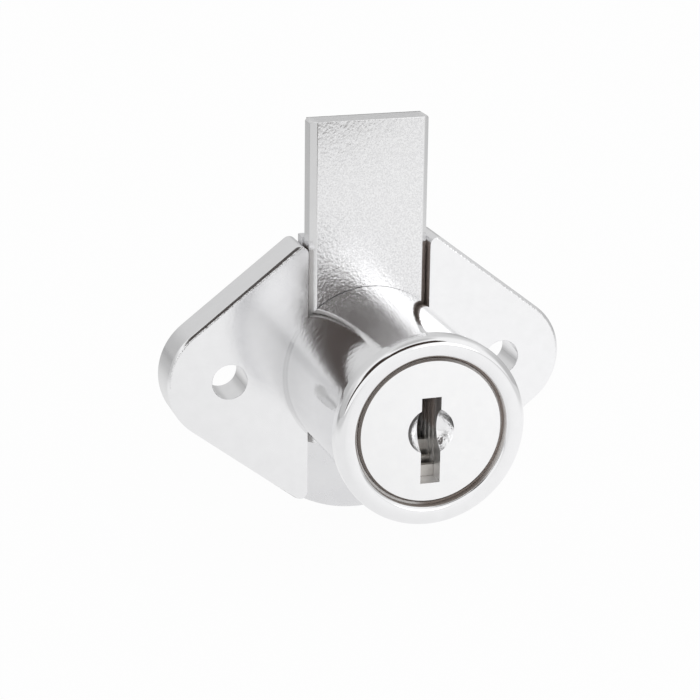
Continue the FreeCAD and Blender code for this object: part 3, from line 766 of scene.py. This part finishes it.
class Turning:
    """A profile drawn with x as the radius and y along the barrel, then spun about the barrel's axis."""

    def __init__(self, radius: float, along: float) -> None:
        """Start the profile at a point."""
        self.mesh = bmesh.new()
        self.tip = self.mesh.verts.new((radius, along, 0.0))

    def line(self, radius: float, along: float) -> Turning:
        """Draw a straight run to a point.

        Args:
            radius: The point's distance from the axis.
            along: Its place along the axis.

        Returns:
            The same profile.
        """
        grown = bmesh.ops.extrude_vert_indiv(self.mesh, verts=[self.tip])
        self.tip = grown["verts"][0]
        self.tip.co = Vector((radius, along, 0.0))
        return self

    def arc(self, radius: float, along: float, degrees: float, steps: int) -> Turning:
        """Sweep the tip about a centre.

        Args:
            radius: The centre's distance from the axis.
            along: The centre's place along the axis.
            degrees: How far the tip turns, to the left where positive.
            steps: Straight runs in the arc.

        Returns:
            The same profile.
        """
        swept = bmesh.ops.spin(self.mesh, geom=[self.tip], cent=(radius, along, 0.0), axis=(0.0, 0.0, 1.0),
                               angle=math.radians(degrees), steps=steps, use_duplicate=False)
        self.tip = next(item for item in swept["geom_last"] if isinstance(item, bmesh.types.BMVert))
        return self

    def spin(self, steps: int) -> bmesh.types.BMesh:
        """Spin the profile into a closed shell.

        Args:
            steps: Facets round the axis.

        Returns:
            The shell, with its faces pointing outwards.
        """
        geometry = [*self.mesh.verts, *self.mesh.edges]
        bmesh.ops.spin(self.mesh, geom=geometry, cent=(0.0, 0.0, 0.0), axis=(0.0, 1.0, 0.0), angle=math.tau,
                       steps=steps, use_merge=True, use_duplicate=False)
        bmesh.ops.remove_doubles(self.mesh, verts=self.mesh.verts, dist=WELD)
        bmesh.ops.recalc_face_normals(self.mesh, faces=self.mesh.faces)
        return self.mesh


@dataclass
class Housing:
    """The casting: ears, barrel and bolt channel."""

    nodes: dict[str, bpy.types.Object]
    edge_round: float = 0.07 * MM
    shortest: float = 0.15 * MM
    barrel_radius: float = 10.1 * MM
    cover_recess: float = 5.2 * MM

    def build(self) -> None:
        """Make the casting and take the sharpness off its outer edges."""
        mesh = merged_copy(self.nodes["lock_housing"])
        roll_edges(mesh, self.edge_round, self.is_outer)
        finish_piece(mesh, "plated_housing", BrightCasting().build(), Slot.CASTING, Body.HOUSING,
                     ("lock_housing",))

    def is_outer(self, edge: bmesh.types.BMEdge) -> bool:
        """Tell whether an edge is long enough, outside the barrel and in front of the cover's recess."""
        return edge.calc_length() > self.shortest and all(
            math.hypot(corner.co.x, corner.co.z) > self.barrel_radius and corner.co.y < self.cover_recess
            for corner in edge.verts)


@dataclass
class TrimRing:
    """The ring pressed on the barrel's neck: straight lip, tight shoulder, broad face and inner round."""

    opening: float = 8.45 * MM
    shoulder: float = 1.0 * MM
    fall: float = 12.0
    roll: float = 0.4 * MM
    neck: float = 9.5 * MM
    inner_edge: float = 0.5 * MM
    facets: int = 192
    shoulder_steps: int = 12
    face_steps: int = 6
    roll_steps: int = 8
    crease: float = 50.0

    def build(self) -> None:
        """Spin the ring from its section: back, lip, shoulder, crowned face, inner round and neck."""
        low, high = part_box("face_ring")
        outside, crest, back = high.x, low.y, high.y
        tilt = math.radians(self.fall)
        crest_radius = outside - self.shoulder
        crown = (crest_radius - self.opening - self.roll) / math.sin(tilt)
        front = crest + crown * (1 - math.cos(tilt))
        bend = self.roll / (math.sqrt(2) * math.sin(math.radians(45.0) - tilt))
        inner_end = front + self.roll + self.inner_edge
        section = Turning(self.neck, back)
        section.line(outside, back).line(outside, crest + self.shoulder)
        section.arc(crest_radius, crest + self.shoulder, -90.0, self.shoulder_steps)
        section.arc(crest_radius, crest + crown, -self.fall, self.face_steps)
        section.arc(self.opening + self.roll + bend * math.sin(tilt), front + bend * math.cos(tilt),
                    2 * self.fall - 90.0, self.roll_steps)
        section.line(self.opening, inner_end).line(self.neck, inner_end).line(self.neck, back)
        finish_piece(section.spin(self.facets), "domed_ring", BrightRing().build(), Slot.RING, Body.HOUSING,
                     ("face_ring",), self.crease)


@dataclass
class Cylinder:
    """The cylinder with its face, hollow and key slot, and the pieces that it carries."""

    nodes: dict[str, bpy.types.Object]

    def build(self) -> None:
        """Make the cylinder and finish the plates and the pin in it."""
        mesh = merged_copy(self.nodes["cylinder_plug"])
        finish_piece(mesh, "plated_cylinder_body", BrightCylinder().build(), Slot.CYLINDER, Body.CYLINDER,
                     ("cylinder_plug",))
        stamped = OiledWafer().build()
        for name, node in self.nodes.items():
            if name.startswith(("wafer_", "retaining_")) and "spring" not in name:
                self.dress(node, stamped)
        self.dress(self.nodes["crank_pin"], PIN_STEEL.build())

    @staticmethod
    def dress(node: bpy.types.Object, material: bpy.types.Material) -> None:
        """Give a CAD node its finish."""
        node.data.materials.clear()
        node.data.materials.append(material)


@dataclass
class CoilSprings:
    """The small springs, each between its seat and the plate that it pushes."""

    nodes: dict[str, bpy.types.Object]
    joints: list[dict]
    crease: float = 80.0

    def build(self) -> None:
        """Make every spring that a joint works."""
        wire = SPRING_STEEL.build()
        for joint in self.joints:
            for end in joint.get("deforming_nodes", []):
                self.coil(joint, end["node"], end["fixed_end_z_m"], wire)

    def coil(self, joint: dict, name: str, seat: float, wire: bpy.types.Material) -> None:
        """Make one spring.

        Args:
            joint: The record's joint that works the spring; not used.
            name: The spring's node.
            seat: Height of the end that stays; not used.
            wire: Its finish.
        """
        spring = finish_piece(welded_copy(self.nodes[name]), f"{name}_coil", wire, Slot.WIRE, None, (name,),
                              self.crease)
        low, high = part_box(name)
        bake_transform(spring)


@dataclass
class Bolt:
    """The flat bolt."""

    nodes: dict[str, bpy.types.Object]
    edge_round: float = 0.09 * MM
    shortest: float = 0.3 * MM

    def build(self) -> None:
        """Make the bolt with softened edges."""
        mesh = merged_copy(self.nodes["lock_bolt"])
        roll_edges(mesh, self.edge_round, lambda edge: edge.calc_length() > self.shortest)
        finish_piece(mesh, "pebbled_bolt", GrainedCasting().build(), Slot.GRAINED, Body.BOLT, ("lock_bolt",))


@dataclass
class BackCover:
    """The cover plate and its rivets."""

    nodes: dict[str, bpy.types.Object]
    edge_round: float = 0.12 * MM
    shortest: float = 0.3 * MM
    shank: float = 1.0 * MM
    head: float = 1.7 * MM
    head_steps: int = 10
    facets: int = 40
    crease: float = 50.0

    def build(self) -> None:
        """Make the plate and its four rivets."""
        mesh = merged_copy(self.nodes["back_cover"])
        roll_edges(mesh, self.edge_round, lambda edge: edge.calc_length() > self.shortest)
        finish_piece(mesh, "cover_plate", PlatedSheet().build(), Slot.SHEET, Body.HOUSING, ("back_cover",))
        self.rivets()

    def rivets(self) -> None:
        """Spin one domed rivet and repeat it at the four corners."""
        low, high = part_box("cover_rivets")
        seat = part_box("back_cover")[1].y
        rise = high.y - seat
        crown = (self.head ** 2 + rise ** 2) / (2 * rise)
        profile = Turning(0.0, low.y).line(self.shank, low.y).line(self.shank, seat).line(self.head, seat)
        profile.arc(0.0, high.y - crown, math.degrees(math.asin(self.head / crown)), self.head_steps)
        one = profile.spin(self.facets)
        rivet = bpy.data.meshes.new("one_rivet")
        one.to_mesh(rivet)
        one.free()
        mesh = bmesh.new()
        for across in (low.x + self.head, high.x - self.head):
            for up in (low.z + self.head, high.z - self.head):
                start = len(mesh.verts)
                mesh.from_mesh(rivet)
                mesh.verts.ensure_lookup_table()
                bmesh.ops.translate(mesh, verts=mesh.verts[start:], vec=(across, 0.0, up))
        bpy.data.meshes.remove(rivet)
        finish_piece(mesh, "domed_rivets", RIVET_STEEL.build(), Slot.STEEL, Body.HOUSING, ("cover_rivets",),
                     self.crease)


@dataclass(frozen=True)
class Viewpoint:
    """The camera, where the photograph was taken from: angles in degrees, negative to the left."""

    lens: float = 113.14
    sensor: float = 36.0
    eye: Way = (-76.37 * MM, -228.09 * MM, 81.42 * MM)
    azimuth: float = -18.0
    elevation: float = 18.2
    roll: float = 0.7
    nearest: float = 0.01
    farthest: float = 20.0

    def build(self) -> None:
        """Place the camera."""
        data = bpy.data.cameras.new("camera")
        data.lens = self.lens
        data.sensor_width = self.sensor
        data.clip_start = self.nearest
        data.clip_end = self.farthest
        turn, tilt, lean = (math.radians(angle) for angle in (self.azimuth, self.elevation, self.roll))
        back = Vector((math.sin(turn) * math.cos(tilt), -math.cos(turn) * math.cos(tilt), math.sin(tilt)))
        right = Vector((math.cos(turn), math.sin(turn), 0.0))
        up = back.cross(right)
        leaned_right = right * math.cos(lean) + up * math.sin(lean)
        leaned_up = up * math.cos(lean) - right * math.sin(lean)
        turned = Matrix((leaned_right, leaned_up, back)).transposed().to_4x4()
        camera = bpy.data.objects.new("camera", data)
        camera.matrix_world = Matrix.Translation(self.eye) @ turned
        bpy.context.scene.collection.objects.link(camera)
        bpy.context.scene.camera = camera


@dataclass(frozen=True)
class Floor:
    """A wide white floor just under the lowest point, clear from below.

    The camera sees it white. The metal sees it glow less on the left, far out to both sides and behind.
    """

    half_size: float = 1.5
    drop: float = 0.05 * MM
    colour: str = "#F0F0F0"
    white: str = "#FFFFFF"
    roughness: float = 0.9
    seen_share: float = 0.96
    side: Span = (-20.0 * MM, 35.0 * MM)
    side_glow: Span = (0.89, 1.0)
    outwards: Span = (60.0 * MM, 160.0 * MM)
    outwards_glow: Span = (1.0, 0.75)
    behind: Span = (0.0, 120.0 * MM)
    behind_glow: Span = (1.0, 0.6)

    def build(self) -> None:
        """Lay the floor."""
        mesh = bmesh.new()
        bmesh.ops.create_grid(mesh, x_segments=1, y_segments=1, size=self.half_size)
        bmesh.ops.translate(mesh, verts=mesh.verts, vec=(0.0, 0.0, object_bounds()[0].z - self.drop))
        floor = place_mesh(mesh, "floor", self.finish())
        floor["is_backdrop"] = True

    def finish(self) -> bpy.types.Material:
        """Make its material.

        Returns:
            The finished material.
        """
        surface = Surface("white_floor")
        add = partial(add_node, surface.tree)
        fill(surface.shader, {"Base Color": linear(self.colour), "Roughness": self.roughness})
        path = add("LightPath").node.outputs
        straight = add("Math", path["Is Camera Ray"], path["Is Glossy Ray"], operation="MAXIMUM")
        seen = add("Math", straight, self.seen_share, operation="MULTIPLY")
        side = add("MapRange", surface.across, *self.side, *self.side_glow, **SMOOTH)
        apart = add("Math", surface.across, operation="ABSOLUTE")
        outwards = add("MapRange", apart, *self.outwards, *self.outwards_glow, **SMOOTH)
        behind = add("MapRange", surface.along, *self.behind, *self.behind_glow, **SMOOTH)
        beside = add("Math", side, outwards, operation="MULTIPLY")
        fade = add("Math", beside, behind, operation="MULTIPLY")
        strength = add("Math", fade, path["Is Camera Ray"], operation="MAXIMUM")
        glow = add("Emission", linear(self.white), strength)
        lit = add("MixShader", seen, surface.shader.outputs[0], glow)
        under = add("NewGeometry", output="Backfacing")
        fill(surface.output, {"Surface": add("MixShader", under, lit, add("BsdfTransparent"))})
        return surface.material


@dataclass(frozen=True)
class DarkBoard:
    """A small dark board, cut to shape, before the left ear, where only the polished metal sees it.

    Its outline's corners are in millimetres, across and up.
    """

    colour: str = "#403733"
    place: float = -40.0 * MM
    outline: tuple[Span, ...] = (
        (-44.0, 1.5), (-31.3, 8.4), (-14.1, 21.2), (-3.0, 21.0), (8.5, 22.0), (14.5, 27.3), (12.0, 40.0),
        (-8.0, 42.0), (-22.0, 38.0), (-34.0, 28.0), (-44.0, 14.0))

    def build(self) -> None:
        """Hang the board."""
        mesh = bmesh.new()
        corners = [mesh.verts.new((across * MM, self.place, up * MM)) for across, up in self.outline]
        bmesh.ops.contextual_create(mesh, geom=corners)
        board = place_mesh(mesh, "dark_board", self.finish())
        board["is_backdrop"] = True

    def finish(self) -> bpy.types.Material:
        """Make its material.

        Returns:
            The finished material.
        """
        surface = Surface("dark_board")
        add = partial(add_node, surface.tree)
        mirrored = add("LightPath", output="Is Glossy Ray")
        dark = add("Emission", linear(self.colour))
        fill(surface.output, {"Surface": add("MixShader", mirrored, add("BsdfTransparent"), dark)})
        return surface.material


@dataclass(frozen=True)
class Room:
    """The light all round: a white front, a far wall that is lighter higher up, and soft grey sides and top.

    One small dark corner up on the left draws the line along the left ear's edge. The camera sees it all
    white. Spans are parts of a way of length 1 from the lock, and the corner's are degrees from its middle.
    """

    white: str = "#FFFFFF"
    far_low: str = "#BEBEBE"
    far_high: str = "#D8D8D8"
    side: str = "#C4C4C4"
    corner: str = "#3A3330"
    backwards: Span = (-0.2, 0.6)
    upwards: Span = (0.1, 0.35)
    sideways: Span = (0.78, 0.97)
    overhead: Span = (0.90, 0.99)
    corner_way: Way = (-0.55, -0.45, 0.70)
    corner_edge: Span = (17.0, 10.0)

    def build(self) -> None:
        """Light the room."""
        world = bpy.data.worlds.new("studio")
        bpy.context.scene.world = world
        world.use_nodes = True
        add = partial(add_node, world.node_tree)
        way = add("TexCoord", output="Generated")
        across, along, up = add("SeparateXYZ", way).node.outputs
        far = add("MapRange", along, *self.backwards, **SMOOTH)
        height = add("MapRange", up, *self.upwards, **SMOOTH)
        back = add("Mix", height, sockets={"A": linear(self.far_low), "B": linear(self.far_high)}, **COLOURS)
        walls = add("Mix", far, sockets={"A": linear(self.white), "B": back}, **COLOURS)
        aside = add("Math", across, operation="ABSOLUTE")
        sides = add("MapRange", aside, *self.sideways, **SMOOTH)
        top = add("MapRange", up, *self.overhead, **SMOOTH)
        greyed = add("Math", sides, top, operation="MAXIMUM")
        softened = add("Mix", greyed, sockets={"A": walls, "B": linear(self.side)}, **COLOURS)
        nearness = add("VectorMath", way, self.corner_way, operation="DOT_PRODUCT")
        edge = (math.cos(math.radians(angle)) for angle in self.corner_edge)
        dark = add("MapRange", nearness, *edge, **SMOOTH)
        mirrored = add("Mix", dark, sockets={"A": softened, "B": linear(self.corner)}, **COLOURS)
        camera = add("LightPath", output="Is Camera Ray")
        shown = add("Mix", camera, sockets={"A": mirrored, "B": linear(self.white)}, **COLOURS)
        fill(world.node_tree.nodes["Background"], {"Color": shown})


@dataclass(frozen=True)
class Lamp:
    """One soft round lamp in front, to the right, in metres and watts."""

    size: float = 0.35
    power: float = 0.2
    place: Way = (0.32, -0.74, 0.16)

    def build(self) -> None:
        """Stand the lamp, aimed at the lock."""
        data = bpy.data.lights.new("soft_lamp", "AREA")
        data.shape = "DISK"
        data.size = self.size
        data.energy = self.power
        lamp = bpy.data.objects.new("soft_lamp", data)
        lamp.location = self.place
        lamp.rotation_mode = "QUATERNION"
        lamp.rotation_quaternion = lamp.location.to_track_quat("Z", "Y")
        bpy.context.scene.collection.objects.link(lamp)


class Studio:
    """Pale floor, soft light and the camera."""

    def build(self) -> None:
        """Set up the whole studio."""
        bpy.context.scene.view_settings.view_transform = "Standard"
        for part in (Viewpoint(), Floor(), Room(), DarkBoard(), Lamp()):
            part.build()


def main() -> None:
    """Load the frame, dress every piece of it and set up the studio."""
    logging.basicConfig(level=logging.INFO, format="%(message)s")
    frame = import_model()
    nodes = frame["nodes"]
    Housing(nodes).build()
    TrimRing().build()
    Cylinder(nodes).build()
    CoilSprings(nodes, frame["record"]["behaviour"]["joints"]).build()
    Bolt(nodes).build()
    BackCover(nodes).build()
    Studio().build()


if __name__ == "__main__":
    main()
